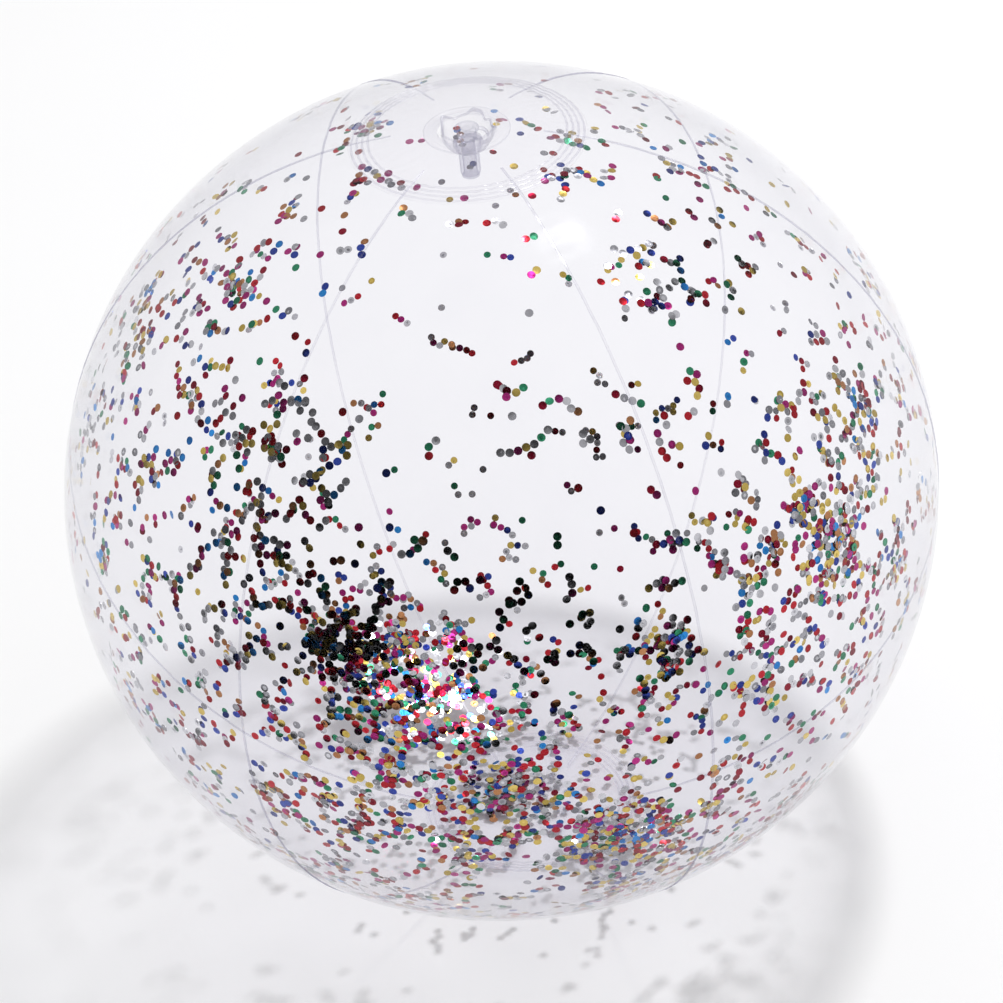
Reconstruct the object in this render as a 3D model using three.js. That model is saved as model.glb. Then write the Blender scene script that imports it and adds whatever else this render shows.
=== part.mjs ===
// A clear inflatable beach ball with loose foil confetti inside, in millimetres, +Z up.
// The origin is the middle of the flat patch that the ball rests on. The valve is on top.
//
// The skin is six welded panels of soft film, with a round end cap over each pole.
// The valve is stored pushed in: its stem hangs inside the ball, in a soft skirt that turns
// inside out when the stem is pulled up to blow the ball up.

import * as THREE from "three";

// ---- Driving dimensions ----

const EQUATOR_R = 162.5; // outside of the film, halfway up
const POLAR_R = 158.2; // a ball made of panels comes out a little flat at the poles
const FOOT_R = 24; // the film is pressed flat where the ball rests
const FILM = 0.25; // film thickness
const GAP = 0.3; // clearance kept between pieces that are welded or moulded together

const PANELS = 6;
const PANEL_COLUMNS = 8;
const PANEL_ROWS = 24;
const PANEL_TOP_R = 16; // the panels stop short of the poles
const PANEL_BOTTOM_R = 12;

const BEAD_WIDTH = 1.2; // the weld bead between two panels
const BEAD_HEIGHT = 0.9;
const BEAD_STEPS = 30;

const CAP_R = 42.3; // end cap over each pole
const CAP_THICKNESS = 0.3;
const CAP_RIBS = [35, 37, 39, 41]; // radii of the pressed rings that weld the cap down
const RIB_HEIGHT = 0.35;
const RIB_CREST = 0.25; // half widths of a rib at its top and at its foot
const RIB_FOOT = 0.6;
const ROUND_STEPS = 48; // facets round a cap, a multiple of the panels' columns
const VALVE_STEPS = 24; // facets round a valve piece

const RIM_R = 10; // mouth of the pocket that the stem sits in
const FLANGE_R = 15.4;
const FLANGE_THICKNESS = 1;
const SKIRT_THICKNESS = 0.6;
const SKIRT_DROP = 8.5; // from the rim down to the collar on the stem, when pushed in
const SKIRT_STEPS = 6;

const BORE_R = 2.5;
const COLLAR_R = 4.6;
const STEM_NECK_R = 4.1; // above the collar
const STEM_TUBE_R = 3.65; // below the collar
const MOUTH_R = 5;
const STEM_ABOVE = 3.8;
const STEM_BELOW = 10.5;
const STEM_END_ROUND = 0.8;

const PLUG_R = 2.25; // the part of the stopper inside the bore
const PLUG_LENGTH = 6;
const STOPPER_NECK_R = 3.4;
const STOPPER_NECK = 3.2;
const STOPPER_HEAD_R = 4.2;
const STOPPER_HEAD = 1.3;
const SEAT_GAP = 0.2; // between the stopper and the stem's mouth

const RING_R = 5.4; // the tether's ring, round the stem's neck
const RING_BOTTOM = 1.2; // above the collar
const RING_TOP = 2.5;
const STRAP_WIDTH = 2;
const STRAP_THICKNESS = 0.6;
const STRAP_BULGE = 2.6;
const STRAP_STEPS = 16;

const FLAP_R = 3.2;
const FLAP_THICKNESS = 0.5;

const DOT_R = 1.5; // confetti dot
const DOT_THICKNESS = 0.15;
const DOT_STEPS = 8;
const DOT_INSET = 1.5; // from the film's outside to the dot
const DOTS_PER_COLOUR = 5;
const DOT_COLOURS = {
  red: 0xc4161c,
  magenta: 0xd0128a,
  gold: 0xe0a81e,
  green: 0x118a4a,
  blue: 0x1b46c8,
  silver: 0xc9ccd1,
};

// ---- Derived sizes ----

const OUTSIDE = GAP + CAP_THICKNESS; // how far the caps' outside stands off the film
const CENTRE_Z = OUTSIDE + POLAR_R * Math.sqrt(1 - (FOOT_R / EQUATOR_R) ** 2);
const RIM_Z = heightAt(RIM_R, OUTSIDE);
const COLLAR_Z = RIM_Z - SKIRT_DROP;

// ---- Materials ----

const film = new THREE.MeshStandardMaterial({
  color: 0xf1f0f5,
  roughness: 0.08,
  metalness: 0,
  transparent: true,
  opacity: 0.18,
});
const weld = new THREE.MeshStandardMaterial({
  color: 0xdcdbe2,
  roughness: 0.3,
  metalness: 0,
  transparent: true,
  opacity: 0.5,
});
const valvePlastic = new THREE.MeshStandardMaterial({
  color: 0xe4e3ea,
  roughness: 0.25,
  metalness: 0,
  transparent: true,
  opacity: 0.55,
});

// ---- Shape of the skin ----

// A point of the skin in its meridian plane, as [radius, height]. offset is measured outwards
// from the film's outside.
function meridian(polar, offset) {
  const r = (EQUATOR_R + offset) * Math.sin(polar);
  const z = CENTRE_Z + (POLAR_R + offset) * Math.cos(polar);
  return [r, Math.max(z, OUTSIDE - offset)];
}

// The angle from the +Z pole at which the skin has this radius, in the upper half.
function polarAt(r, offset) {
  return Math.asin(r / (EQUATOR_R + offset));
}

// The height of the skin at this radius, in the upper half.
function heightAt(r, offset) {
  return meridian(polarAt(r, offset), offset)[1];
}

// ---- Geometry helpers ----

// A closed profile of [radius, height] pairs, turned about Z.
function turned(profile, steps) {
  const points = profile.map(([r, z]) => new THREE.Vector2(r, z));
  const first = points[0];
  const last = points[points.length - 1];
  const onAxis = first.x === 0 && last.x === 0;
  if (!onAxis) points.push(first.clone());
  return new THREE.LatheGeometry(points, steps).rotateX(Math.PI / 2);
}

function piece(name, geometry, material) {
  const mesh = new THREE.Mesh(geometry, material);
  mesh.name = name;
  return mesh;
}

// ---- Skin ----

// One panel, centred on +X: two grids of points, outside and inside, joined round their edges.
// Each edge keeps clear of the weld bead beside it.
function panelGeometry() {
  const halfAngle = Math.PI / PANELS;
  const edgeInset = BEAD_WIDTH / 2 + GAP;
  const start = polarAt(PANEL_TOP_R, 0);
  const end = Math.PI - polarAt(PANEL_BOTTOM_R, 0);
  const positions = [];
  const indices = [];
  const across = PANEL_COLUMNS + 1;
  const perFace = across * (PANEL_ROWS + 1);

  for (const offset of [0, -FILM]) {
    for (let row = 0; row <= PANEL_ROWS; row++) {
      const polar = start + ((end - start) * row) / PANEL_ROWS;
      const [r, z] = meridian(polar, offset);
      const reach = halfAngle - Math.asin(edgeInset / r);
      for (let column = 0; column <= PANEL_COLUMNS; column++) {
        const azimuth = reach * ((2 * column) / PANEL_COLUMNS - 1);
        positions.push(r * Math.cos(azimuth), r * Math.sin(azimuth), z);
      }
    }
  }

  const quad = (a, b, c, d) => indices.push(a, b, c, a, c, d);
  for (let row = 0; row < PANEL_ROWS; row++) {
    for (let column = 0; column < PANEL_COLUMNS; column++) {
      const a = row * across + column;
      const b = a + across;
      quad(a, b, b + 1, a + 1);
      quad(perFace + a, perFace + a + 1, perFace + b + 1, perFace + b);
    }
    const left = row * across;
    const right = left + PANEL_COLUMNS;
    quad(left, perFace + left, perFace + left + across, left + across);
    quad(right, right + across, perFace + right + across, perFace + right);
  }
  const lastRow = PANEL_ROWS * across;
  for (let column = 0; column < PANEL_COLUMNS; column++) {
    const bottom = lastRow + column;
    quad(column, column + 1, perFace + column + 1, perFace + column);
    quad(bottom, perFace + bottom, perFace + bottom + 1, bottom + 1);
  }

  const geometry = new THREE.BufferGeometry()
    .setAttribute("position", new THREE.Float32BufferAttribute(positions, 3))
    .setIndex(indices);
  geometry.computeVertexNormals();
  return geometry;
}

// The line down the middle of a weld bead, in the XZ plane. It runs between the end caps.
class Meridian extends THREE.Curve {
  getPoint(t, target = new THREE.Vector3()) {
    const start = polarAt(CAP_R + 2 * GAP, 0);
    const [r, z] = meridian(start + (Math.PI - 2 * start) * t, -FILM / 2);
    return target.set(r, 0, z);
  }
}

// A weld bead: an eight-sided section run down the meridian.
function beadGeometry() {
  const half = BEAD_WIDTH / 2;
  const high = BEAD_HEIGHT / 2;
  const bevel = BEAD_HEIGHT / 4;
  const section = new THREE.Shape([
    new THREE.Vector2(half, high - bevel),
    new THREE.Vector2(half - bevel, high),
    new THREE.Vector2(bevel - half, high),
    new THREE.Vector2(-half, high - bevel),
    new THREE.Vector2(-half, bevel - high),
    new THREE.Vector2(bevel - half, -high),
    new THREE.Vector2(half - bevel, -high),
    new THREE.Vector2(half, bevel - high),
  ]);
  return new THREE.ExtrudeGeometry(section, {
    steps: BEAD_STEPS,
    extrudePath: new Meridian(),
    bevelEnabled: false,
  });
}

// The outside of an end cap from its middle to its edge, as [radius, offset] pairs, with a
// rib pressed up at each weld ring. One point is at the foot's edge, where the ball bends flat.
function capOutside(holeR) {
  const ribs = CAP_RIBS.flatMap((r) => [
    [r - RIB_FOOT, OUTSIDE],
    [r - RIB_CREST, OUTSIDE + RIB_HEIGHT],
    [r + RIB_CREST, OUTSIDE + RIB_HEIGHT],
    [r + RIB_FOOT, OUTSIDE],
  ]);
  const plain = [holeR, (holeR + FOOT_R) / 2, FOOT_R, (FOOT_R + CAP_RIBS[0]) / 2];
  return [...plain.map((r) => [r, OUTSIDE]), ...ribs, [CAP_R, OUTSIDE]];
}

// The inside of an end cap, from its edge back to its middle.
function capInside(holeR) {
  const radii = [CAP_R, CAP_RIBS[0], (FOOT_R + CAP_RIBS[0]) / 2, FOOT_R];
  return [...radii, (holeR + FOOT_R) / 2, holeR].map((r) => [r, GAP]);
}

function topCapGeometry() {
  const holeR = RIM_R + GAP;
  const loop = [...capInside(holeR), ...capOutside(holeR)];
  const profile = loop.map(([r, offset]) => [r, heightAt(r, offset)]);
  return turned(profile.reverse(), ROUND_STEPS);
}

function bottomCapGeometry() {
  const loop = [...capOutside(0), ...capInside(0)];
  const lowerPolar = (r, offset) => Math.PI - polarAt(r, offset);
  const profile = loop.map(([r, offset]) => [r, meridian(lowerPolar(r, offset), offset)[1]]);
  return turned(profile, ROUND_STEPS);
}

function skin() {
  const group = new THREE.Group();
  const panel = panelGeometry();
  const bead = beadGeometry();
  const step = (2 * Math.PI) / PANELS;
  for (let i = 0; i < PANELS; i++) {
    const panelMesh = piece(`panel_${i + 1}`, panel, film);
    panelMesh.rotation.z = step * (i + 0.5);
    const beadMesh = piece(`seam_weld_${i + 1}`, bead, weld);
    beadMesh.rotation.z = step * i;
    group.add(panelMesh, beadMesh);
  }
  group.add(piece("top_end_cap", topCapGeometry(), film));
  group.add(piece("bottom_end_cap", bottomCapGeometry(), film));
  return group;
}

// ---- Valve ----

// The ring that welds the valve to the underside of the top cap.
function flangeGeometry() {
  const inner = RIM_R + 2 * GAP;
  const middle = (inner + FLANGE_R) / 2;
  const top = [inner, middle, FLANGE_R].map((r) => [r, heightAt(r, 0)]);
  const underside = [
    [FLANGE_R, heightAt(FLANGE_R, 0) - FLANGE_THICKNESS / 2],
    [middle, heightAt(middle, 0) - FLANGE_THICKNESS],
    [inner, heightAt(inner, 0) - FLANGE_THICKNESS],
  ];
  return turned([...top, ...underside].reverse(), VALVE_STEPS);
}

// The soft bowl between the rim and the stem's collar: a quarter ellipse under a short lip.
function skirtGeometry() {
  const lip = RIM_Z - FLANGE_THICKNESS;
  const neck = COLLAR_R + GAP;
  const bowl = (thickness) => {
    const points = [[RIM_R - thickness, RIM_Z]];
    for (let i = 0; i <= SKIRT_STEPS; i++) {
      const turn = (Math.PI / 2) * (i / SKIRT_STEPS);
      const r = neck + (RIM_R - thickness - neck) * Math.cos(turn);
      const z = lip - (lip - COLLAR_Z - SKIRT_THICKNESS + thickness) * Math.sin(turn);
      points.push([r, z]);
    }
    return points;
  };
  return turned([...bowl(SKIRT_THICKNESS), ...bowl(0).reverse()], VALVE_STEPS);
}

// The stem: a tube with a collar for the skirt, a flared mouth over the tether's ring and a
// rounded inner end. Heights here and below are above the collar.
function stemGeometry() {
  const chamfer = 0.3;
  const outside = [
    [STEM_TUBE_R - STEM_END_ROUND, -STEM_BELOW],
    [STEM_TUBE_R - STEM_END_ROUND / 4, STEM_END_ROUND / 2 - STEM_BELOW],
    [STEM_TUBE_R, 1.5 * STEM_END_ROUND - STEM_BELOW],
    [STEM_TUBE_R, -3 * chamfer],
    [COLLAR_R, -2 * chamfer],
    [COLLAR_R, 2 * chamfer],
    [STEM_NECK_R, 3 * chamfer],
    [STEM_NECK_R, RING_TOP + chamfer],
    [MOUTH_R, STEM_ABOVE - 2 * chamfer],
    [MOUTH_R, STEM_ABOVE - chamfer],
    [MOUTH_R - chamfer, STEM_ABOVE],
  ];
  const bore = [
    [BORE_R + chamfer, STEM_ABOVE],
    [BORE_R, STEM_ABOVE - chamfer],
    [BORE_R, -STEM_BELOW],
  ];
  return turned([...outside, ...bore], VALVE_STEPS).translate(0, 0, COLLAR_Z);
}

// The stopper: a plug, a wider neck that sits on the stem's mouth, and a round head with a
// dimple on top.
function stopperGeometry() {
  const round = 0.35;
  const dimpleR = 2.2;
  const seat = STEM_ABOVE + SEAT_GAP;
  const head = seat + STOPPER_NECK;
  const top = head + STOPPER_HEAD;
  const profile = [
    [0, seat - PLUG_LENGTH],
    [PLUG_R - round, seat - PLUG_LENGTH],
    [PLUG_R, seat - PLUG_LENGTH + 2 * round],
    [PLUG_R, seat],
    [STOPPER_NECK_R, seat],
    [STOPPER_NECK_R, head],
    [STOPPER_HEAD_R - round, head],
    [STOPPER_HEAD_R, head + round],
    [STOPPER_HEAD_R, top - round],
    [STOPPER_HEAD_R - round, top],
    [dimpleR, top],
    [dimpleR - round, top - round],
    [0, top - round],
  ];
  return turned(profile, VALVE_STEPS).translate(0, 0, COLLAR_Z);
}

// The ring that holds the tether on the stem's neck.
function ringGeometry() {
  const inner = STEM_NECK_R + GAP;
  const profile = [
    [inner, RING_BOTTOM],
    [RING_R, RING_BOTTOM],
    [RING_R, RING_TOP],
    [inner, RING_TOP],
  ];
  return turned(profile, VALVE_STEPS).translate(0, 0, COLLAR_Z);
}

// The strap from the ring out, up and back to the stopper's head, on the +X side.
class StrapLine extends THREE.Curve {
  getPoint(t, target = new THREE.Vector3()) {
    const low = (RING_BOTTOM + RING_TOP) / 2;
    const high = STEM_ABOVE + SEAT_GAP + STOPPER_NECK + STOPPER_HEAD / 2;
    const startX = RING_R + GAP;
    const endX = STOPPER_HEAD_R + GAP;
    const turn = Math.PI * t;
    const x = startX + (endX - startX) * t + STRAP_BULGE * Math.sin(turn);
    const z = (low + high) / 2 - ((high - low) / 2) * Math.cos(turn);
    return target.set(x, 0, COLLAR_Z + z);
  }
}

function strapGeometry() {
  const w = STRAP_WIDTH / 2;
  const h = STRAP_THICKNESS / 2;
  const section = new THREE.Shape([
    new THREE.Vector2(-w, -h),
    new THREE.Vector2(w, -h),
    new THREE.Vector2(w, h),
    new THREE.Vector2(-w, h),
  ]);
  return new THREE.ExtrudeGeometry(section, {
    steps: STRAP_STEPS,
    extrudePath: new StrapLine(),
    bevelEnabled: false,
  });
}

// The one-way flap that lies against the stem's lower end.
function flapGeometry() {
  const top = COLLAR_Z - STEM_BELOW - GAP;
  return new THREE.CylinderGeometry(FLAP_R, FLAP_R, FLAP_THICKNESS, VALVE_STEPS)
    .rotateX(Math.PI / 2)
    .translate(0, 0, top - FLAP_THICKNESS / 2);
}

function valve() {
  const group = new THREE.Group();
  group.add(
    piece("valve_flange", flangeGeometry(), valvePlastic),
    piece("valve_skirt", skirtGeometry(), valvePlastic),
    piece("valve_stem", stemGeometry(), valvePlastic),
    piece("stopper", stopperGeometry(), valvePlastic),
    piece("tether_ring", ringGeometry(), valvePlastic),
    piece("tether_strap", strapGeometry(), valvePlastic),
    piece("check_flap", flapGeometry(), valvePlastic),
  );
  return group;
}

// ---- Confetti ----

// Foil dots that cling to the inside of the film, spread by the golden angle, so that every
// colour is met all round the ball.
function confetti() {
  const group = new THREE.Group();
  const goldenAngle = Math.PI * (3 - Math.sqrt(5));
  const disc = new THREE.CylinderGeometry(DOT_R, DOT_R, DOT_THICKNESS, DOT_STEPS);
  const names = Object.keys(DOT_COLOURS);
  const materials = names.map(
    (name) =>
      new THREE.MeshStandardMaterial({
        color: DOT_COLOURS[name],
        roughness: 0.25,
        metalness: 1,
      }),
  );
  const total = names.length * DOTS_PER_COLOUR;
  const highest = polarAt(CAP_R, 0);
  for (let i = 0; i < total; i++) {
    const colour = i % names.length;
    const number = Math.floor(i / names.length) + 1;
    const share = (i + 0.5) / total;
    const polar = highest + (Math.PI - 2 * highest) * share;
    const azimuth = i * goldenAngle;
    const [r, z] = meridian(polar, -DOT_INSET);
    const dot = piece(`confetti_${names[colour]}_${number}`, disc, materials[colour]);
    const outward = new THREE.Vector3(
      (Math.sin(polar) / EQUATOR_R) * Math.cos(azimuth),
      (Math.sin(polar) / EQUATOR_R) * Math.sin(azimuth),
      Math.cos(polar) / POLAR_R,
    ).normalize();
    dot.position.set(r * Math.cos(azimuth), r * Math.sin(azimuth), z);
    dot.quaternion.setFromUnitVectors(new THREE.Vector3(0, 1, 0), outward);
    group.add(dot);
  }
  return group;
}

const ball = new THREE.Group();
ball.add(skin(), valve(), confetti());

export default ball;
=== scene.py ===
import math
import random

import bpy
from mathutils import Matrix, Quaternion, Vector, noise


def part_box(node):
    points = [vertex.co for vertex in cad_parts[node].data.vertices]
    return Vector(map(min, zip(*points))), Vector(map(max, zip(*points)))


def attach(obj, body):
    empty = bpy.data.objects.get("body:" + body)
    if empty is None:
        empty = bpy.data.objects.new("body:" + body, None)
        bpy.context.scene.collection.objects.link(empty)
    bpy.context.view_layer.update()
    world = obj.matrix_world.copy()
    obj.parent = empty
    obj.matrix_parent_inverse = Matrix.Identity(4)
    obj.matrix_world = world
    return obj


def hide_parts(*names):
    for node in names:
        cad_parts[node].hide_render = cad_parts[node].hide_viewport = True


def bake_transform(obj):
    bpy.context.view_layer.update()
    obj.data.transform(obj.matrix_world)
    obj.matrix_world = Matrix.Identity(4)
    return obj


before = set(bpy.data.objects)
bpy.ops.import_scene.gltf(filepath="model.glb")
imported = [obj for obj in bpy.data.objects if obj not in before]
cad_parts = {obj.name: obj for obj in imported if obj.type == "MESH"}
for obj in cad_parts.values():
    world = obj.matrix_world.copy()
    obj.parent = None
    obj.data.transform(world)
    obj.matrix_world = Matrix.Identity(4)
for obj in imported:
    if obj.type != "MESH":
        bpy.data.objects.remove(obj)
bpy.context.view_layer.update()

MM = 0.001

# ---- The ball's shape, in millimetres, as in the CAD ----

EQUATOR_R = 162.5
POLAR_R = 158.2
FOOT_SOFTNESS = 0.5
FLAT_R = 26.0
CAP_OFFSET = 0.3
CAP_THICKNESS = 0.3
CAP_R = 42.3
CAP_RIBS = (35.0, 37.0, 39.0, 41.0)
RIM_R = 10.0
FLANGE_R = 15.4
PANELS = 6
OUTSIDE = CAP_OFFSET + CAP_THICKNESS
RIM_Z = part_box("valve_skirt")[1][2] / MM
COLLAR_Z = RIM_Z - 8.5
RIM_COSINE = math.sqrt(1 - (RIM_R / (EQUATOR_R + OUTSIDE)) ** 2)
CENTRE_Z = RIM_Z - (POLAR_R + OUTSIDE) * RIM_COSINE
CENTRE = Vector((0, 0, CENTRE_Z)) * MM

# ---- Camera ----

VIEW_AZIMUTH = 6.7
VIEW_ELEVATION = 36.4
VIEW_LEAN = 5.5  # the camera is rolled to its right, so the ball's axis leans left
VIEW_PITCH = 0.17  # the frame's middle is this far under the ball's
VIEW_DISTANCE = 9 * EQUATOR_R * MM  # metres
LENS = 140.5
SENSOR = 36.0


def direction(azimuth, elevation):
    """The unit vector towards this azimuth and elevation, in degrees. Azimuth 0 is at -Y."""
    a, e = math.radians(azimuth), math.radians(elevation)
    return Vector((math.sin(a) * math.cos(e), -math.cos(a) * math.cos(e), math.sin(e)))


def make_camera():
    data = bpy.data.cameras.new("camera")
    data.lens = LENS
    data.sensor_width = SENSOR
    data.clip_start = 0.05
    data.clip_end = 50
    camera = bpy.data.objects.new("camera", data)
    bpy.context.scene.collection.objects.link(camera)
    back = direction(VIEW_AZIMUTH, VIEW_ELEVATION)
    roll = Quaternion((0, 0, 1), math.radians(-VIEW_LEAN))
    pitch = Quaternion((1, 0, 0), math.radians(-VIEW_PITCH))
    camera.location = CENTRE + back * VIEW_DISTANCE
    camera.rotation_mode = "QUATERNION"
    camera.rotation_quaternion = (-back).to_track_quat("-Z", "Y") @ roll @ pitch
    bpy.context.scene.camera = camera


make_camera()

# ---- Material tools ----


class Graph:
    """A material's or world's nodes, made one call at a time."""

    def __init__(self, owner):
        owner.use_nodes = True
        self.tree = owner.node_tree
        self.tree.nodes.clear()

    def put(self, socket, value):
        if isinstance(value, bpy.types.NodeSocket):
            self.tree.links.new(value, socket)
        elif value is not None:
            socket.default_value = value

    def node(self, kind, values=None, **settings):
        made = self.tree.nodes.new(kind)
        for key, value in settings.items():
            setattr(made, key, value)
        for key, value in (values or {}).items():
            self.put(made.inputs[key], value)
        return made

    def maths(self, operation, a, b=None, clamp=False):
        made = self.node("ShaderNodeMath", {0: a, 1: b}, operation=operation, use_clamp=clamp)
        return made.outputs[0]

    def mix(self, factor, a, b):
        values = {"Factor": factor, "A": a, "B": b}
        made = self.tree.nodes.new("ShaderNodeMix")
        made.data_type = "RGBA"
        for key, value in values.items():
            enabled = next(s for s in made.inputs if s.name == key and s.enabled)
            self.put(enabled, value)
        return next(s for s in made.outputs if s.enabled)

    def noise(self, vector, scale, detail=2.0):
        made = self.node("ShaderNodeTexNoise", {"Vector": vector, "Scale": scale, "Detail": detail})
        return made.outputs[0]

    def remap(self, value, low, high, to_low, to_high):
        values = {0: value, 1: low, 2: high, 3: to_low, 4: to_high}
        return self.node("ShaderNodeMapRange", values).outputs[0]


def object_place(graph):
    return graph.node("ShaderNodeTexCoord").outputs["Object"]


def clear_vinyl(name, face_tint, edge_tint, edge_power, mirror, roughness, haze, bump):
    """Thin clear vinyl under a glossy face. Light goes straight through it, and it has more
    tint, haze and gloss where it is seen along its face.
    """
    material = bpy.data.materials.new(name)
    g = Graph(material)
    place = object_place(g)
    facing = g.node("ShaderNodeLayerWeight", {"Blend": 0.5}).outputs["Facing"]
    cloud = g.noise(place, 45, 3)
    tint = g.mix(g.maths("POWER", facing, edge_power), face_tint, edge_tint)
    tint = g.mix(g.remap(cloud, 0.4, 0.75, 0.0, 0.12), tint, edge_tint)
    ripple = g.noise(place, 160, 2)
    bumps = {"Strength": bump, "Distance": 0.0004, "Height": ripple}
    normal = g.node("ShaderNodeBump", bumps).outputs[0]
    through = g.node("ShaderNodeBsdfTransparent", {"Color": tint}).outputs[0]
    gloss = {"Color": (1, 1, 1, 1), "Roughness": roughness, "Normal": normal}
    shine = g.node("ShaderNodeBsdfAnisotropic", gloss).outputs[0]
    milk = g.node("ShaderNodeBsdfDiffuse", {"Color": (0.9, 0.9, 0.93, 1)}).outputs[0]
    glance = g.maths("POWER", facing, 5.0)
    share = g.maths("ADD", g.maths("MULTIPLY", glance, 1 - mirror), mirror, clamp=True)
    fog = g.maths("ADD", g.maths("MULTIPLY", g.maths("POWER", facing, 3.0), LIMB_FOG), haze)
    body = g.node("ShaderNodeMixShader", {0: fog, 1: through, 2: milk}).outputs[0]
    whole = g.node("ShaderNodeMixShader", {0: share, 1: body, 2: shine}).outputs[0]
    g.node("ShaderNodeOutputMaterial", {"Surface": whole})
    return material


def foil(name, colour, shade):
    """Metallised foil: each dot has its own shade, and a fine roughness."""
    material = bpy.data.materials.new(name)
    g = Graph(material)
    own = g.node("ShaderNodeNewGeometry").outputs["Random Per Island"]
    grain = g.noise(object_place(g), 900, 2)
    mixed = g.mix(own, colour, shade)
    rough = g.remap(grain, 0.3, 0.7, 0.14, 0.30)
    values = {"Base Color": mixed, "Metallic": 1.0, "Roughness": rough}
    shader = g.node("ShaderNodeBsdfPrincipled", values).outputs[0]
    g.node("ShaderNodeOutputMaterial", {"Surface": shader})
    return material


def grey(face, edge):
    """A face tint and an edge tint, each a grey with a breath of violet."""
    return tuple((t, t - 0.002, t + (1 - t) * 0.25, 1) for t in (face, edge))


LIMB_FOG = 0.25  # how milky the vinyl looks seen along its face
FILM = clear_vinyl(
    "clear_film", *grey(0.945, 0.86), edge_power=4.0,
    mirror=0.0008, roughness=0.15, haze=0.004, bump=0.12,
)
CAP_FILM = clear_vinyl(
    "cap_film", *grey(0.990, 0.97), edge_power=4.0,
    mirror=0.002, roughness=0.19, haze=0.002, bump=0.2,
)
WELD = clear_vinyl(
    "welded_film", *grey(0.955, 0.62), edge_power=1.7,
    mirror=0.02, roughness=0.20, haze=0.01, bump=0.4,
)
RINGS = clear_vinyl(
    "ring_weld", *grey(0.987, 0.78), edge_power=1.7,
    mirror=0.02, roughness=0.20, haze=0.006, bump=0.4,
)
MOULDED = clear_vinyl(
    "moulded_vinyl", *grey(0.96, 0.38), edge_power=3.0,
    mirror=0.04, roughness=0.15, haze=0.012, bump=0.3,
)
POCKET = clear_vinyl(
    "thin_pocket", *grey(0.988, 0.74), edge_power=3.0,
    mirror=0.025, roughness=0.15, haze=0.005, bump=0.3,
)

# ---- Mesh tools ----


def add_mesh(name, points, faces, material, body, nodes=(), sharp=40):
    """A smooth-shaded piece from points in millimetres. It rides on body unless that is None."""
    mesh = bpy.data.meshes.new(name)
    mesh.from_pydata([tuple(x * MM for x in p) for p in points], [], faces)
    mesh.shade_smooth()
    mesh.set_sharp_from_angle(angle=math.radians(sharp))
    mesh.materials.append(material)
    piece = bpy.data.objects.new(name, mesh)
    bpy.context.scene.collection.objects.link(piece)
    if body:
        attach(piece, body)
    if nodes:
        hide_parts(*nodes)
    return piece


def grid_faces(rows, columns, wrap=False):
    """Quads over a grid of rows by columns of points, wrapped round the columns if asked."""
    faces = []
    for i in range(rows - 1):
        here, after = i * columns, (i + 1) * columns
        for j in range(columns if wrap else columns - 1):
            k = (j + 1) % columns
            faces.append((here + j, after + j, after + k, here + k))
    return faces


def closed_sweep(stations, count):
    """Faces of a section of count points repeated at each station, with its two ends closed."""
    last = (stations - 1) * count
    faces = grid_faces(stations, count, wrap=True)
    faces.append(tuple(range(count)))
    faces.append(tuple(last + i for i in reversed(range(count))))
    return faces


def rounded(profile, radius, steps=4):
    """A closed profile with its corners rounded, but for those on the axis."""
    made = []
    count = len(profile)
    for i, corner in enumerate(profile):
        here = Vector(corner)
        if here.x == 0:
            made.append(tuple(here))
            continue
        ends = []
        for other in (profile[i - 1], profile[(i + 1) % count]):
            away = Vector(other) - here
            ends.append(here + away.normalized() * min(radius, away.length * 0.45))
        for s in range(steps + 1):
            t = s / steps
            point = ends[0] * (1 - t) ** 2 + here * 2 * t * (1 - t) + ends[1] * t**2
            made.append(tuple(point))
    return made


def lathe(profile, steps, shape=None):
    """Points and faces of a closed profile of (radius, height) turned about Z.

    shape(radius, height, angle) may move a point.
    """
    points, rings, faces = [], [], []
    for r, z in profile:
        if r == 0:
            rings.append([len(points)])
            points.append((0, 0, z))
            continue
        rings.append(list(range(len(points), len(points) + steps)))
        for s in range(steps):
            turn = 2 * math.pi * s / steps
            moved = shape(r, z, turn) if shape else (r, z)
            points.append((moved[0] * math.cos(turn), moved[0] * math.sin(turn), moved[1]))
    for i, ring in enumerate(rings):
        after = rings[(i + 1) % len(rings)]
        if len(ring) == 1 and len(after) == 1:
            continue
        for s in range(steps):
            t = (s + 1) % steps
            quad = [ring[s % len(ring)], ring[t % len(ring)]]
            quad += [after[t % len(after)], after[s % len(after)]]
            faces.append(tuple(dict.fromkeys(quad)))
    return points, faces


def sweep(stations, section):
    """Points and faces of a section run along stations of (origin, side, up)."""
    points = []
    for origin, side, up in stations:
        points += [tuple(origin + side * x + up * y) for x, y in section]
    return points, closed_sweep(len(stations), len(section))


# ---- Skin ----


def meridian(polar, offset):
    """Radius and height of the skin at an angle from the +Z pole, with the foot pressed flat."""
    r = (EQUATOR_R + offset) * math.sin(polar)
    z = CENTRE_Z + (POLAR_R + offset) * math.cos(polar)
    above = z - (OUTSIDE - offset)
    return r, OUTSIDE - offset + (above + math.sqrt(above**2 + FOOT_SOFTNESS**2)) / 2


def polar_at(radius):
    return math.asin(radius / EQUATOR_R)


def skin_point(polar, azimuth, offset):
    r, z = meridian(polar, offset)
    return Vector((r * math.cos(azimuth), r * math.sin(azimuth), z))


SEAM_PULL = 0.25  # the film dips this far into a seam
SEAM_PULL_REACH = 9
PUCKER = 0.05  # small folds across each seam
PUCKER_REACH = 7
PUCKER_PITCH = 7.5
CAP_PUCKER = 0.08  # small folds round each end cap
CAP_PUCKER_REACH = 9
CAP_PUCKERS = 54
UNDER_CAP = 0.3  # the share of those folds that is left under the cap
SLACK = 0.2  # long shallow waves over the whole film
SLACK_PITCH = 55


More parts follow.
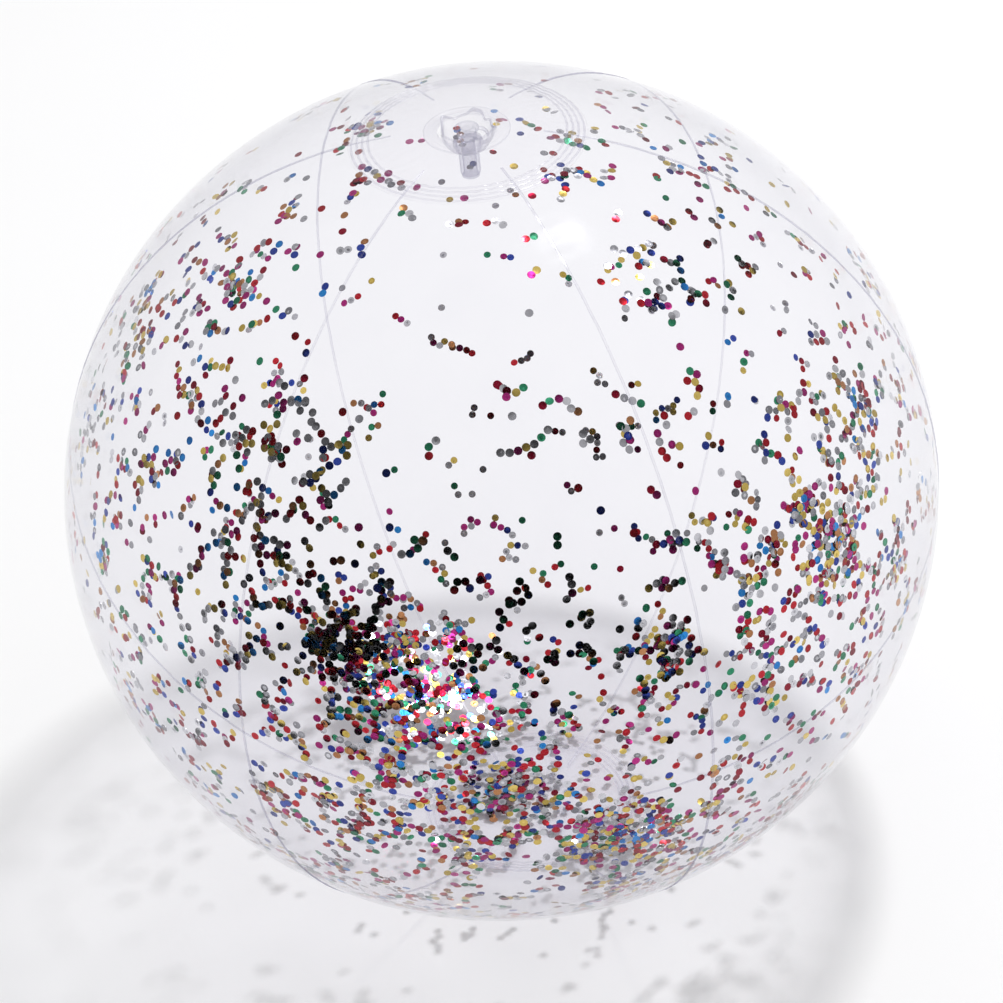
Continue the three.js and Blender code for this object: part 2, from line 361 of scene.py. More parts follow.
def film_relief(polar, azimuth):
    """How far the film stands off its even shape, by its seams, its end caps and its slack."""
    r, z = meridian(polar, 0)
    step = 2 * math.pi / PANELS
    to_seam = r * abs((azimuth + step / 2) % step - step / 2)
    along = polar * (EQUATOR_R + POLAR_R) / 2
    wander = noise.noise(Vector((math.cos(azimuth) * 2, math.sin(azimuth) * 2, along / 20)))
    fold = math.sin(2 * math.pi * along / PUCKER_PITCH + 5 * wander)
    pull = -SEAM_PULL * math.exp(-((to_seam / SEAM_PULL_REACH) ** 2))
    pucker = PUCKER * (0.6 + wander) * fold * math.exp(-((to_seam / PUCKER_REACH) ** 2))
    ring = max(0.0, r - CAP_R) / CAP_PUCKER_REACH
    radial = CAP_PUCKER * math.sin(CAP_PUCKERS * azimuth + 6 * wander) * math.exp(-(ring**2))
    if r < CAP_R:
        radial *= UNDER_CAP
    wave = SLACK * noise.noise(skin_point(polar, azimuth, 0) / SLACK_PITCH)
    return pull + pucker + radial + wave


PANEL_ROWS = 300
PANEL_COLUMNS = 30
PANEL_TOP_R = 15.0
PANEL_BOTTOM_R = 11.0
SEAM_HALF_WIDTH = 0.5
SEAM_END_R = 27.0  # the seams end here, under the end caps
PANEL_GAP = 0.6  # of a seam's half width
PANEL_GAP_CLOSED = 0.02
END_REACH = 4  # a seam's gap and height fade over this length


def panel_gap(r):
    """How far a panel stops short of the seam's middle. The weld bridges the gap, and past the
    seam's end the panels meet.
    """
    return SEAM_HALF_WIDTH * min(PANEL_GAP, max(PANEL_GAP_CLOSED, (r - SEAM_END_R) / END_REACH))


def panel_mesh(azimuth):
    """One panel centred on azimuth. Its columns are closer together near the seams."""
    points = []
    start, end = polar_at(PANEL_TOP_R), math.pi - polar_at(PANEL_BOTTOM_R)
    for i in range(PANEL_ROWS + 1):
        polar = start + (end - start) * i / PANEL_ROWS
        r = meridian(polar, 0)[0]
        half = math.pi / PANELS - panel_gap(r) / r
        for j in range(PANEL_COLUMNS + 1):
            turn = azimuth + half * math.sin(math.pi * (j / PANEL_COLUMNS - 0.5))
            points.append(skin_point(polar, turn, film_relief(polar, turn)))
    return points, grid_faces(PANEL_ROWS + 1, PANEL_COLUMNS + 1)


SEAM_ROWS = 420
SEAM_SUNK = 0.05  # the weld sits this far into the film
SEAM_UNDERSIDE = -0.15
SEAM_FLATTENED = 0.25  # the share of a seam's height that is left under a cap


def seam_section(rise):
    """A lap weld across the seam: two fine ridges with a shallow valley between them."""
    w = SEAM_HALF_WIDTH
    top = [(-w, 0.0), (-0.85 * w, 0.18), (-0.66 * w, 0.30), (-0.45 * w, 0.10), (0.0, 0.04)]
    top += [(-x, y) for x, y in reversed(top[:-1])]
    under = [(0.8 * w, SEAM_UNDERSIDE), (-0.8 * w, SEAM_UNDERSIDE)]
    return [(x, y * rise) for x, y in top] + under


def seam_mesh(azimuth):
    start, end = polar_at(SEAM_END_R), math.pi - polar_at(SEAM_END_R)
    side = Vector((-math.sin(azimuth), math.cos(azimuth), 0))
    points = []
    for i in range(SEAM_ROWS + 1):
        polar = start + (end - start) * i / SEAM_ROWS
        relief = film_relief(polar, azimuth) - SEAM_SUNK
        origin = skin_point(polar, azimuth, relief)
        up = (skin_point(polar, azimuth, relief + 1) - origin).normalized()
        beyond_cap = (meridian(polar, 0)[0] - CAP_R) / END_REACH
        under_cap = min(1.0, max(SEAM_FLATTENED, beyond_cap))
        wobble = noise.noise(origin / 9)
        rise = under_cap * (1 + 0.5 * wobble)
        for x, y in seam_section(rise):
            points.append(tuple(origin + side * (x + 0.15 * wobble) + up * y))
    return points, closed_sweep(SEAM_ROWS + 1, len(seam_section(1)))


CAP_STEPS = 180
CAP_ROWS = 56
CAP_STANDOFF = 0.2  # the cap's mean height off its even shape
CAP_WANDER = 0.12
GATHERS = 48
GATHER_HEIGHT = 0.2
GATHER_R = 33.0
GATHER_REACH = 11.0


def cap_lift(r, azimuth):
    """Height of an end cap's relief: fine radial gathers where it was heat-shrunk to the ball."""
    wander = noise.noise(Vector((math.cos(azimuth) * 3, math.sin(azimuth) * 3, r / 14)))
    reach = math.exp(-(((r - GATHER_R) / GATHER_REACH) ** 2))
    gather = GATHER_HEIGHT * reach * math.sin(GATHERS * azimuth + 7 * wander)
    return CAP_STANDOFF + gather + CAP_WANDER * wander


def cap_polar(r, bottom):
    polar = math.asin(r / (EQUATOR_R + OUTSIDE))
    return math.pi - polar if bottom else polar


def cap_mesh(hole, bottom):
    """An end cap as a thin closed disc, over a hole if it has one."""
    first = hole or 0.5
    radii = [first + (CAP_R - 1 - first) * i / CAP_ROWS for i in range(CAP_ROWS + 1)]
    radii += [CAP_R - 0.5, CAP_R - 0.15, CAP_R]
    outer, inner = [], []
    for r in radii:
        polar = cap_polar(r, bottom)
        for s in range(CAP_STEPS):
            turn = 2 * math.pi * s / CAP_STEPS
            lift = cap_lift(r, turn) * min(1.0, (CAP_R - r) / 0.5 + 0.2)
            if bottom and r < FLAT_R:
                lift = 0
            outer.append(skin_point(polar, turn, OUTSIDE + lift))
            inner.append(skin_point(polar, turn, CAP_OFFSET + 0.05))
    rows = len(radii)
    shift = len(outer)
    points = outer + inner
    over = grid_faces(rows, CAP_STEPS, wrap=True)
    under = [tuple(shift + v for v in reversed(f)) for f in over]
    last = (rows - 1) * CAP_STEPS
    faces = over + under
    for s in range(CAP_STEPS):
        t = (s + 1) % CAP_STEPS
        faces.append((last + s, last + shift + s, last + shift + t, last + t))
    if hole:
        for s in range(CAP_STEPS):
            t = (s + 1) % CAP_STEPS
            faces.append((s, t, shift + t, shift + s))
    else:
        faces.append(tuple(range(CAP_STEPS)))
        faces.append(tuple(shift + s for s in reversed(range(CAP_STEPS))))
    if bottom:
        faces = [tuple(reversed(f)) for f in faces]
    return points, faces


RIB_HALF = 0.42
RIB_HEIGHT = 0.32
RIB_BURIED = 0.15
RIB_WANDER = 0.12  # how far a ring strays from its circle
RIB_SECTION = ((-1, 0.0), (-0.6, 0.8), (-0.2, 1.0), (0.2, 1.0), (0.6, 0.8), (1, 0.0))


def rings_mesh(bottom):
    """The weld rings that hold an end cap down, as fine ridges on it."""
    points, faces = [], []
    count = len(RIB_SECTION) + 1
    for rib in CAP_RIBS:
        first = len(points)
        for s in range(CAP_STEPS):
            turn = 2 * math.pi * s / CAP_STEPS
            wobble = noise.noise(Vector((math.cos(turn) * 4, math.sin(turn) * 4, rib)))
            base = cap_lift(rib, turn)
            for x, y in RIB_SECTION + ((0.0, -RIB_BURIED / RIB_HEIGHT),):
                r = rib + RIB_HALF * x + RIB_WANDER * wobble
                rise = OUTSIDE + base - 0.05 + RIB_HEIGHT * (1 + 0.4 * wobble) * y
                points.append(skin_point(cap_polar(r, bottom), turn, rise))
        for s in range(CAP_STEPS):
            t = (s + 1) % CAP_STEPS
            for i in range(count):
                k = (i + 1) % count
                here, after = first + s * count, first + t * count
                quad = (here + i, here + k, after + k, after + i)
                faces.append(tuple(reversed(quad)) if bottom else quad)
    return points, faces


def make_skin():
    step = 2 * math.pi / PANELS
    for i in range(PANELS):
        number = i + 1
        points, faces = panel_mesh(step * (i + 0.5))
        add_mesh(f"film_panel_{number}", points, faces, FILM, "ball", [f"panel_{number}"])
        points, faces = seam_mesh(step * i)
        add_mesh(f"lap_seam_{number}", points, faces, WELD, "ball", [f"seam_weld_{number}"])
    points, faces = cap_mesh(RIM_R + 0.3, bottom=False)
    add_mesh("top_cap_film", points, faces, CAP_FILM, "ball", ["top_end_cap"])
    points, faces = cap_mesh(0, bottom=True)
    add_mesh("bottom_cap_film", points, faces, CAP_FILM, "ball", ["bottom_end_cap"])
    for name, bottom in (("top", False), ("bottom", True)):
        points, faces = rings_mesh(bottom)
        add_mesh(f"{name}_cap_weld_rings", points, faces, RINGS, "ball")


# ---- Valve ----

VALVE_STEPS = 96
SKIRT_THICKNESS = 0.6
COLLAR_R = 4.6
FLANGE_THICKNESS = 1.0
STEM_ABOVE = 3.8  # heights here are from the collar's middle
STEM_BELOW = 10.5
STEM_R = 3.65
BORE_R = 2.5
RING_TOP = 2.5
RING_BOTTOM = 1.2
RING_R = 5.4
SEAT = STEM_ABOVE + 0.2
STOPPER_NECK = 3.2
STOPPER_HEAD = 1.3
STOPPER_HEAD_R = 4.2
STOPPER_TOP = SEAT + STOPPER_NECK + STOPPER_HEAD
CORNER = 0.3  # how far moulded corners are rounded


def above_collar(profile):
    return [(r, z + COLLAR_Z) for r, z in profile]


def make_flange():
    """A thin disc under the skin, with fine raised rings on its underside."""
    inner, outer = RIM_R + 0.6, FLANGE_R
    radii = [inner + (outer - inner) * i / 24 for i in range(25)]
    top, under = [], []
    for r in radii:
        z = meridian(polar_at(r), 0)[1]
        rib = 0.12 * max(0.0, math.cos(2 * math.pi * (r - inner) / 1.6))
        edge = 1 - max(0.0, (r - outer + 0.7) / 0.7) ** 2 * 0.5
        top.append((r, z - 0.05))
        under.append((r, z - FLANGE_THICKNESS * edge - rib))
    points, faces = lathe(top + under[::-1], VALVE_STEPS)
    faces = [tuple(reversed(f)) for f in faces]
    add_mesh("valve_flange_disc", points, faces, POCKET, "ball", ["valve_flange"])


RIM_CORNERS = 5
RIM_CRUMPLE = 0.9
RIM_FLARE = 1.5  # the rim's corners stand out and up by this much
RIM_DIP = 0.5  # the rim's sides sink by this much
SKIRT_FOLD = 0.27


def skirt_crease(r, z, turn):
    """Soft folds round the skirt, deepest halfway down, under a rim that is nearly a polygon."""
    depth = (RIM_Z - z) / (RIM_Z - COLLAR_Z)
    middle = max(0.0, math.sin(math.pi * min(1.0, depth)))
    wander = noise.noise(Vector((math.cos(turn) * 1.7, math.sin(turn) * 1.7, 4)))
    fold = math.cos(RIM_CORNERS * turn + 3 * wander)
    side = 1 - abs(math.sin(RIM_CORNERS / 2 * turn + 1.5 * wander))
    loose = max(0.0, 1 - depth)
    inward = SKIRT_FOLD * middle * (1 + fold) + RIM_CRUMPLE * loose * (1 - side)
    flare = RIM_FLARE * loose * loose * side
    return r - inward + flare, z - RIM_DIP * loose * (1 - side) + flare


def make_skirt():
    """The soft bowl between the rim and the stem's collar."""
    lip = RIM_Z - FLANGE_THICKNESS
    neck = COLLAR_R + 0.3

    def bowl(thickness):
        line = [(RIM_R - 0.1 - thickness, RIM_Z - 0.05)]
        drop = lip - COLLAR_Z - SKIRT_THICKNESS + thickness
        for i in range(25):
            turn = math.pi / 2 * i / 24
            r = neck + (RIM_R - thickness - neck) * math.cos(turn)
            line.append((r, lip - drop * math.sin(turn)))
        return line

    profile = bowl(SKIRT_THICKNESS) + bowl(0)[::-1]
    points, faces = lathe(profile, VALVE_STEPS, skirt_crease)
    piece = add_mesh("valve_skirt_soft", points, faces, POCKET, None, ["valve_skirt"])
    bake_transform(piece)


BEAD_R = 0.38
BEAD_SIDES = 10


def make_rim_bead():
    """The thick rolled edge where the skirt meets the ball's skin."""
    r, z = RIM_R - 0.25 - BEAD_R, RIM_Z - 0.1 - BEAD_R
    circle = [2 * math.pi * i / BEAD_SIDES for i in range(BEAD_SIDES)]
    profile = [(r + BEAD_R * math.cos(a), z + BEAD_R * math.sin(a)) for a in circle]
    points, faces = lathe(profile, VALVE_STEPS, skirt_crease)
    add_mesh("valve_rim_bead", points, faces, MOULDED, "ball")


def make_stem():
    """A tube with a tapered inner end, a collar that the skirt holds, and a lip round its mouth."""
    end = -STEM_BELOW
    profile = [
        (BORE_R, end), (2.85, end), (3.45, end + 0.35), (STEM_R, end + 1.2),
        (STEM_R, -0.9), (COLLAR_R, -0.6), (COLLAR_R, 0.6), (4.1, 0.9), (4.1, 2.8),
        (5.0, STEM_ABOVE - 0.6), (5.0, STEM_ABOVE), (2.7, STEM_ABOVE), (BORE_R, STEM_ABOVE - 0.3),
    ]
    points, faces = lathe(above_collar(rounded(profile, CORNER)), VALVE_STEPS)
    add_mesh("valve_stem_tube", points, faces, MOULDED, "valve", ["valve_stem"])


def make_stopper():
    """A plug for the bore, with a neck to pull it by and a round head, a little dished on top."""
    head, top, dish = SEAT + STOPPER_NECK, STOPPER_TOP, STOPPER_TOP - 0.5
    plug_r = BORE_R - 0.25
    profile = [
        (0, SEAT - 6), (1.9, SEAT - 6), (plug_r, SEAT - 5.2), (2.1, SEAT - 2.6),
        (plug_r, SEAT - 1.6), (plug_r, SEAT), (3.4, SEAT), (3.25, head),
        (STOPPER_HEAD_R, head), (STOPPER_HEAD_R, top), (2.4, top), (2.0, dish), (0, dish),
    ]
    points, faces = lathe(above_collar(rounded(profile, CORNER)), VALVE_STEPS)
    add_mesh("stopper_plug", points, faces, MOULDED, "stopper", ["stopper"])


TETHER_STEPS = 40
TETHER_BOW = 2.6  # how far the strap bows out between its ends


def make_tether():
    """The ring round the stem's neck, and the strap from it to the stopper's head."""
    profile = [(4.4, RING_BOTTOM), (RING_R, RING_BOTTOM), (RING_R, RING_TOP), (4.4, RING_TOP)]
    points, faces = lathe(above_collar(rounded(profile, CORNER)), VALVE_STEPS)
    add_mesh("tether_neck_ring", points, faces, MOULDED, "valve", ["tether_ring"])

    low, high = (RING_BOTTOM + RING_TOP) / 2, SEAT + STOPPER_NECK + STOPPER_HEAD / 2
    route = []
    for i in range(TETHER_STEPS + 1):
        t = i / TETHER_STEPS
        x = RING_R - 0.15 + (STOPPER_HEAD_R + 0.1 - RING_R) * t + TETHER_BOW * math.sin(math.pi * t)
        z = COLLAR_Z + (low + high) / 2 - (high - low) / 2 * math.cos(math.pi * t)
        route.append(Vector((x, 0, z)))
    stations = []
    side = Vector((0, 1, 0))
    for i, place in enumerate(route):
        ahead = (route[min(i + 1, TETHER_STEPS)] - route[max(i - 1, 0)]).normalized()
        stations.append((place, side, ahead.cross(side)))
    half = [(1.0, -0.2), (1.0, 0.2), (0.85, 0.3), (-0.85, 0.3)]
    section = [(-x, -y) for x, y in half] + half
    points, faces = sweep(stations, section[::-1])
    piece = add_mesh("tether_strap_soft", points, faces, MOULDED, None, ["tether_strap"])
    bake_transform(piece)


def make_flap():
    """A thin disc with a fine groove, just under the stem's inner end."""
    top = -STEM_BELOW - 0.3
    profile = [(0, top), (2.3, top), (2.6, top - 0.12), (3.2, top), (3.2, top - 0.5), (0, top - 0.5)]
    points, faces = lathe(above_collar(rounded(profile[::-1], 0.15)), VALVE_STEPS)
    add_mesh("check_flap_disc", points, faces, MOULDED, "flap", ["check_flap"])


def make_valve():
    make_flange()
    make_skirt()
    make_rim_bead()
    make_stem()
    make_stopper()
    make_tether()
    make_flap()


# ---- Confetti ----

DOT_R = 1.5
DOT_SEGMENTS = 12
DOT_THICKNESS = 0.06
DOT_DISH = 0.1
DOT_SQUEEZE = 0.12  # at most this much off flat
DOT_CLEAR = 0.85  # at least this much from the film to a dot's highest edge
DOT_LOOSE = 0.8  # at most this much more
KEEP_OFF_VALVE = 19.0

# name: share, bright colour, deep colour, slot, the CAD dots it stands for
FOILS = {
    "red": (0.115, (0.60, 0.03, 0.045, 1), (0.34, 0.012, 0.02, 1), "foil_red", "red"),
    "crimson": (0.06, (0.34, 0.01, 0.035, 1), (0.16, 0.005, 0.018, 1), "foil_red", None),
    "copper": (0.055, (0.60, 0.28, 0.12, 1), (0.36, 0.15, 0.06, 1), "foil_red", None),
    "magenta": (0.115, (0.54, 0.04, 0.25, 1), (0.30, 0.018, 0.14, 1), "foil_magenta", "magenta"),
    "gold": (0.12, (0.86, 0.65, 0.18, 1), (0.54, 0.39, 0.08, 1), "foil_gold", "gold"),
    "green": (0.08, (0.05, 0.35, 0.18, 1), (0.02, 0.16, 0.08, 1), "foil_green", "green"),
    "blue": (0.085, (0.055, 0.10, 0.48, 1), (0.02, 0.035, 0.23, 1), "foil_blue", "blue"),
    "azure": (0.05, (0.04, 0.32, 0.78, 1), (0.02, 0.16, 0.48, 1), "foil_blue", None),
    "silver": (0.32, (0.80, 0.80, 0.83, 1), (0.22, 0.22, 0.24, 1), "foil_silver", "silver"),
}

# Drifts where the dots lie thick: azimuth from +X and latitude of the middle, in degrees, the
# spread across and up, and how many.
DRIFTS = (
    # front left, thickest low down
    (253.5, 17, 2.6, 2.6, 125),
    (250, 21, 5, 4, 50),
    (249, 29, 6, 5, 55),
    (246, 37, 4, 6, 60),
    (238, 38, 7, 6, 28),
    (258, 6, 7, 4, 110),
    (243, 12, 9, 7, 70),
    (268, 22, 6, 5, 35),
    (259, -3, 9, 5, 130),
    (250, -11, 10, 6, 100),
    (240, -22, 9, 6, 110),
    (255, -38, 18, 5, 150),
    # left side
    (230, 26, 6, 6, 50),
    (222, 38, 8, 6, 85),
    (206, 50, 8, 6, 100),
    (211, 18, 8, 9, 50),
    (224, 0, 9, 8, 90),
    (196, 36, 6, 8, 60),
    (215, 63, 9, 5, 50),
    # front, a loose scatter across the middle
    (280, 17, 4, 4, 40),
    (289, 47, 4, 5, 14),
    (293, 36, 6, 6, 20),
    # front right
    (294.5, 13, 2.4, 2.6, 65),
    (298, 24, 6, 5, 20),
    (309, 22, 4, 8, 75),
    (302, -3, 8, 7, 80),
    (299, -17, 7, 6, 100),
    (303, -33, 12, 6, 190),
    # right side
    (323, 18, 5, 7, 230),
    (331, 28, 6, 6, 80),
    (338, 26, 4, 4, 50),
    (318, 4, 8, 6, 90),
    (338, 4, 8, 8, 90),
    (350, 24, 6, 8, 60),
    (336, 55, 8, 6, 45),
    (320, 52, 4, 5, 35),
    (10, 62, 8, 7, 50),
    # low front
    (274, -12, 10, 5, 130),
    (290, -22, 7, 6, 130),
    (312, -38, 8, 5, 90),
    (246, -30, 8, 5, 60),
    # on the far wall, low down, where the key light glints
    (133, -57, 6, 5, 400),
    (115, -66, 7, 4, 80),
    (122, -74, 6, 3, 80),
    (124, -66, 5, 2.5, 120),
    (145, -45, 9, 8, 80),
    (95, -50, 9, 8, 60),
    (50, -63, 8, 5, 40),
    (40, -35, 16, 14, 120),
    (165, -25, 14, 14, 130),
    (20, 5, 10, 14, 70),
    (160, 10, 10, 14, 80),
    # round the top cap's weld rings
    (165, 77, 5, 1.2, 20),
    (215, 76, 3, 2, 18),
    (20, 77, 5, 2, 20),
    (330, 76, 5, 2.5, 30),
)
SCATTERED = 1350
SCATTER_KEPT = 0.9  # the share of scattered starts that is kept below the middle
SCATTER_FADE = 0.6  # how much smaller that share is at the top
SEED = 4
LEAN = 7.5  # degrees, how far a clinging dot leans off the film

# Heaps on the bottom: x and y of the middle, spread, and how many.
HEAPS = (
    (-12, 7, 11, 170),
    (33, -26, 13, 200),
    (-30, -25, 16, 60),
    (15, 30, 18, 60),
)
CLUSTER_MEAN = 1.7
CLUSTER_MOST = 12
CLUSTER_STEP = (2.6, 3.3)
CLUSTER_TRIES = 8  # for each dot of a cluster
CLUSTER_BEND = 0.7
CLUSTER_BRANCH = 0.3
ELBOW_ROOM = 2.3


def cluster(draw, count):
    """Offsets in millimetres of dots that cling edge to edge in a bent, branching row."""
    heading = draw.uniform(0, 2 * math.pi)
    spots = [(0.0, 0.0)]
    for _ in range(count * CLUSTER_TRIES):
        if len(spots) == count:
            break
        if draw.random() < CLUSTER_BRANCH:
            heading = draw.uniform(0, 2 * math.pi)
            x, y = draw.choice(spots)
        else:
            heading += draw.gauss(0, CLUSTER_BEND)
            x, y = spots[-1]
        step = draw.uniform(*CLUSTER_STEP)
        spot = (x + step * math.cos(heading), y + step * math.sin(heading))
        if min(math.dist(spot, other) for other in spots) > ELBOW_ROOM:
            spots.append(spot)
    return spots


def cluster_size(draw):
    return min(CLUSTER_MOST, 1 + int(draw.expovariate(1 / CLUSTER_MEAN)))


def scattered_start(draw):
    """Anywhere on the skin, with fewer dots near the top."""
    while True:
        height = draw.uniform(-1, 1)
        if draw.random() < SCATTER_KEPT - SCATTER_FADE * max(0.0, height):
            return draw.uniform(0, 2 * math.pi), math.asin(height)


def drift_start(draw, drift):
    azimuth, latitude, across, up, _ = drift
    lat = math.radians(min(84, max(-84, draw.gauss(latitude, up))))
    widen = 1 / max(0.15, math.cos(lat))
    return math.radians(draw.gauss(azimuth, across * widen)), lat


def grown(draw, total, start):
    """Azimuth and latitude of this many dots in clusters, each begun at start()."""
    found = []
    while len(found) < total:
        azimuth, latitude = start()
        for across, up in cluster(draw, cluster_size(draw)):
            lat = min(1.5, max(-1.5, latitude + up / EQUATOR_R))
            found.append((azimuth + across / (EQUATOR_R * math.cos(lat)), lat))
    return found[:total]


def places():
    """Azimuth and latitude of every dot that clings to the film."""
    draw = random.Random(SEED)
    found = grown(draw, SCATTERED, lambda: scattered_start(draw))
    for i, drift in enumerate(DRIFTS):
        draw = random.Random(SEED + 1 + i)
        found += grown(draw, drift[-1], lambda: drift_start(draw, drift))
    return found


def dot_points(middle, normal, spin, squeeze):
    """A thin round dot, a little dished, and pinched by squeeze along one way."""
    along = normal.orthogonal().normalized()
    across = normal.cross(along)
    cosine, sine = math.cos(spin), math.sin(spin)
    along, across = along * cosine + across * sine, across * cosine - along * sine
    rings = [(DOT_R * 0.55, -DOT_DISH * 0.6, 0), (DOT_R, 0, 0), (DOT_R, 0, -DOT_THICKNESS)]
    made = [middle - normal * DOT_DISH]
    for r, lift, drop in rings:
        for s in range(DOT_SEGMENTS):
            turn = 2 * math.pi * s / DOT_SEGMENTS
            bend = squeeze * (r / DOT_R * math.cos(turn)) ** 2
            flat = along * (r * math.cos(turn)) + across * (r * math.sin(turn))
            made.append(middle + flat + normal * (lift + drop - bend))
    return made


def dot_faces(first):
    n = DOT_SEGMENTS
    faces = []
    for s in range(n):
        t = (s + 1) % n
        inner, outer, under = first + 1, first + 1 + n, first + 1 + 2 * n
        faces.append((first, inner + s, inner + t))
        faces.append((inner + s, outer + s, outer + t, inner + t))
        faces.append((outer + s, under + s, under + t, outer + t))
    faces.append(tuple(first + 1 + 2 * n + s for s in reversed(range(n))))
    return faces


FLOOR_PATCH_R = 30  # within this radius of the bottom pole a dot lies on the flat foot


def clinging_dot(draw, azimuth, latitude):
    """Middle and normal of a dot that leans a little off the film."""
    polar = math.pi / 2 - latitude
    lean = abs(draw.gauss(0, math.radians(LEAN)))
    inset = DOT_CLEAR + DOT_R * math.sin(lean) + draw.random() ** 2 * DOT_LOOSE
    middle = skin_point(polar, azimuth, -inset)
    outward = (skin_point(polar, azimuth, 1) - skin_point(polar, azimuth, 0)).normalized()
    if latitude < 0 and meridian(polar, 0)[0] < FLOOR_PATCH_R:
        middle = Vector((middle.x, middle.y, max(middle.z, OUTSIDE + inset)))
        outward = Vector((0, 0, -1))
    axis = outward.orthogonal()
    axis.rotate(Quaternion(outward, draw.uniform(0, 2 * math.pi)))
    normal = outward.copy()
    normal.rotate(Quaternion(axis, lean))
    return middle, normal


HEAP_CLEAR = 1.2
HEAP_HEIGHT = 2.6
HEAP_LEAN = 14  # degrees


def heaped_dot(draw, heap):
    """Middle and normal of a loose dot in a heap at the bottom."""
    x, y = draw.gauss(heap[0], heap[2]), draw.gauss(heap[1], heap[2])
    base = meridian(math.pi - polar_at(max(math.hypot(x, y), 0.1)), 0)[1]
    middle = Vector((x, y, base + HEAP_CLEAR + draw.random() * HEAP_HEIGHT))
    normal = Vector((0, 0, 1))
    turn = draw.uniform(0, 2 * math.pi)
    axis = Vector((math.cos(turn), math.sin(turn), 0))
    normal.rotate(Quaternion(axis, abs(draw.gauss(0, math.radians(HEAP_LEAN)))))
    return middle, normal


def make_confetti():
    """Every dot, as one piece for each foil."""
    draw = random.Random(SEED)
    dots = []
    for azimuth, latitude in places():
        middle, normal = clinging_dot(draw, azimuth, latitude)
        if latitude > 0 and math.hypot(middle.x, middle.y) < KEEP_OFF_VALVE:
            continue
        dots.append((middle, normal))
    for heap in HEAPS:
        dots += [heaped_dot(draw, heap) for _ in range(heap[-1])]
    names = list(FOILS)
    shares = [FOILS[name][0] for name in names]
    points = {name: [] for name in names}
    faces = {name: [] for name in names}
    for middle, normal in dots:
        name = draw.choices(names, shares)[0]
        first = len(points[name])
        spin, squeeze = draw.uniform(0, math.pi), draw.uniform(0, DOT_SQUEEZE)
        points[name] += dot_points(middle, normal, spin, squeeze)
        faces[name] += dot_faces(first)
    for name in names:
        _, bright, deep, slot, cad = FOILS[name]
        nodes = [f"confetti_{cad}_{i}" for i in range(1, 6)] if cad else []
        piece = f"confetti_dots_{name}"
        material = foil("foil_" + name, bright, deep)
        add_mesh(piece, points[name], faces[name], material, "confetti", nodes, sharp=30)


make_skin()
make_valve()
make_confetti()

# ---- Floor, world and lights ----

FLOOR_SIZE = 12.0
ROOM_GLOW = 0.665  # the room's even light
BACKDROP = 1.02  # the white that the camera sees behind everything
KEY_AZIMUTH = 46
KEY_ELEVATION = 67
KEY_DISTANCE = 1.8
KEY_WIDTH = 8.0  # degrees across, seen from the ball
KEY_POWER = 70


def make_floor():
    material = bpy.data.materials.new("pale_floor")
    g = Graph(material)
    cloud = g.noise(object_place(g), 3, 3)
    tone = g.mix(cloud, (0.90, 0.90, 0.91, 1), (0.93, 0.93, 0.93, 1))
    shader = g.node("ShaderNodeBsdfPrincipled", {"Base Color": tone, "Roughness": 0.8}).outputs[0]
    g.node("ShaderNodeOutputMaterial", {"Surface": shader})
    half = FLOOR_SIZE / 2
    mesh = bpy.data.meshes.new("floor")
    corners = [(-half, -half, 0), (half, -half, 0), (half, half, 0), (-half, half, 0)]
    mesh.from_pydata(corners, [], [(0, 1, 2, 3)])
    mesh.materials.append(material)
    floor = bpy.data.objects.new("floor", mesh)
    bpy.context.scene.collection.objects.link(floor)


def make_world():
    """An even white studio."""
    world = bpy.data.worlds.new("studio")
    bpy.context.scene.world = world
    g = Graph(world)
    seen = g.node("ShaderNodeLightPath").outputs["Is Camera Ray"]
    strength = g.remap(seen, 0, 1, ROOM_GLOW, BACKDROP)
    shade = g.node("ShaderNodeBackground", {"Color": (1, 1, 1, 1), "Strength": strength}).outputs[0]
    g.node("ShaderNodeOutputWorld", {"Surface": shade})


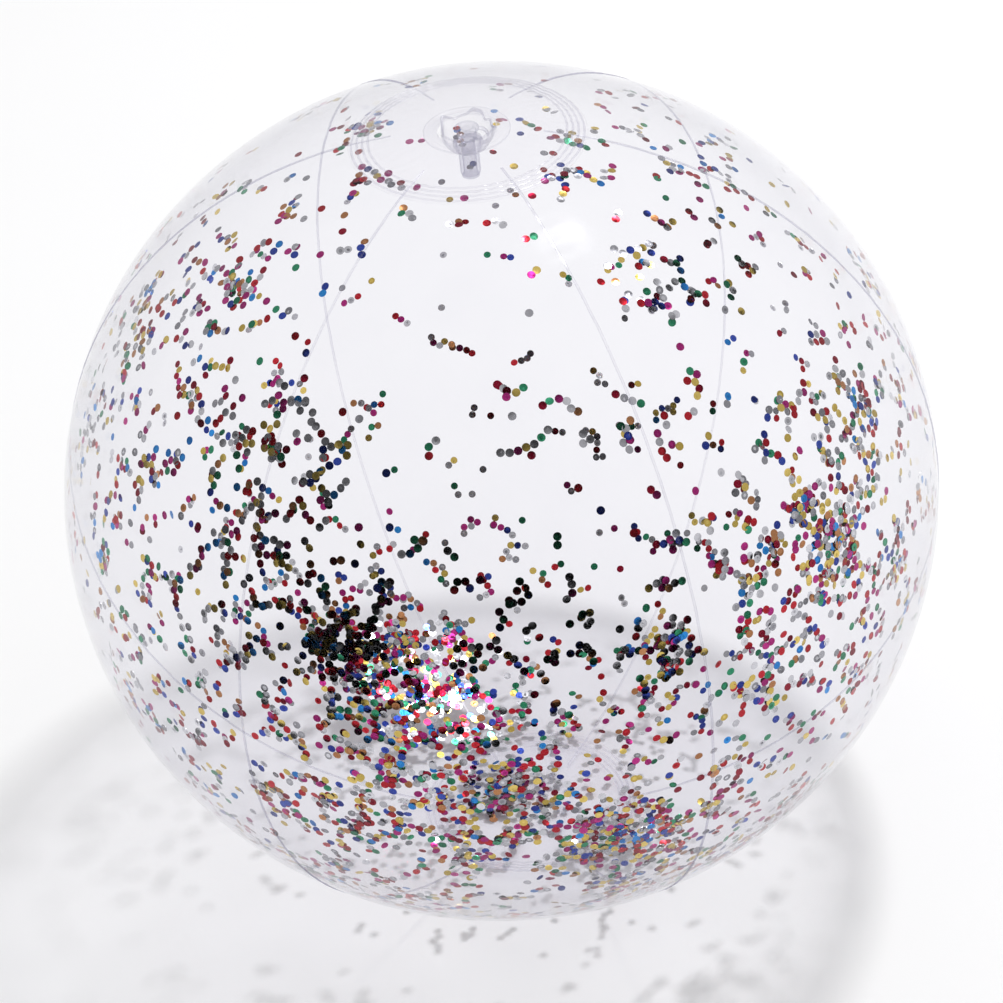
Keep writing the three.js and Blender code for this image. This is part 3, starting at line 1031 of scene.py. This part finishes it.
def make_key():
    """A soft round lamp overhead. Its azimuth is from +X."""
    data = bpy.data.lights.new("overhead_key", "POINT")
    data.energy = KEY_POWER
    data.shadow_soft_size = KEY_DISTANCE * math.tan(math.radians(KEY_WIDTH / 2))
    light = bpy.data.objects.new("overhead_key", data)
    bpy.context.scene.collection.objects.link(light)
    light.location = CENTRE + direction(KEY_AZIMUTH + 90, KEY_ELEVATION) * KEY_DISTANCE


def flag_material():
    """Black cloth with a soft edge, from the flag's own edge values."""
    material = bpy.data.materials.new("flag_cloth")
    g = Graph(material)
    dark = g.node("ShaderNodeAttribute", attribute_name="dark").outputs["Fac"]
    clear = g.node("ShaderNodeBsdfTransparent").outputs[0]
    black = g.node("ShaderNodeEmission", {"Strength": 0.0}).outputs[0]
    whole = g.node("ShaderNodeMixShader", {0: dark, 1: clear, 2: black}).outputs[0]
    g.node("ShaderNodeOutputMaterial", {"Surface": whole})
    return material


def add_flag(name, distance, azimuths, elevations, soft, density):
    """A curved black flag that only reflections see. It spans azimuths from +X and elevations."""
    columns, rows = 36, 20
    points, dark = [], []
    for i in range(rows + 1):
        for j in range(columns + 1):
            v, u = i / rows, j / columns
            elevation = elevations[0] + (elevations[1] - elevations[0]) * v
            azimuth = azimuths[0] + (azimuths[1] - azimuths[0]) * u
            points.append(tuple(CENTRE + direction(azimuth + 90, elevation) * distance))
            edge = min(u, 1 - u, 1 - v) / soft
            dark.append(density * min(1.0, edge))
    mesh = bpy.data.meshes.new(name)
    mesh.from_pydata(points, [], grid_faces(rows + 1, columns + 1))
    mesh.materials.append(flag_material())
    mesh.attributes.new("dark", "FLOAT", "POINT").data.foreach_set("value", dark)
    flag = bpy.data.objects.new(name, mesh)
    bpy.context.scene.collection.objects.link(flag)
    flag.visible_camera = False
    flag.visible_diffuse = False
    flag.visible_transmission = False
    flag.visible_shadow = False


make_floor()
make_world()
make_key()
add_flag("front_net", 0.60, azimuths=(186, 322), elevations=(-14.5, 58), soft=0.14, density=0.80)
add_flag("front_flag", 0.58, azimuths=(218, 318), elevations=(-15, 26), soft=0.12, density=1.0)
add_flag("rear_flag", 0.60, azimuths=(4, 46), elevations=(32, 56), soft=0.2, density=1.0)

bpy.context.scene.view_settings.view_transform = "Standard"
bpy.context.scene.cycles.transparent_max_bounces = 48
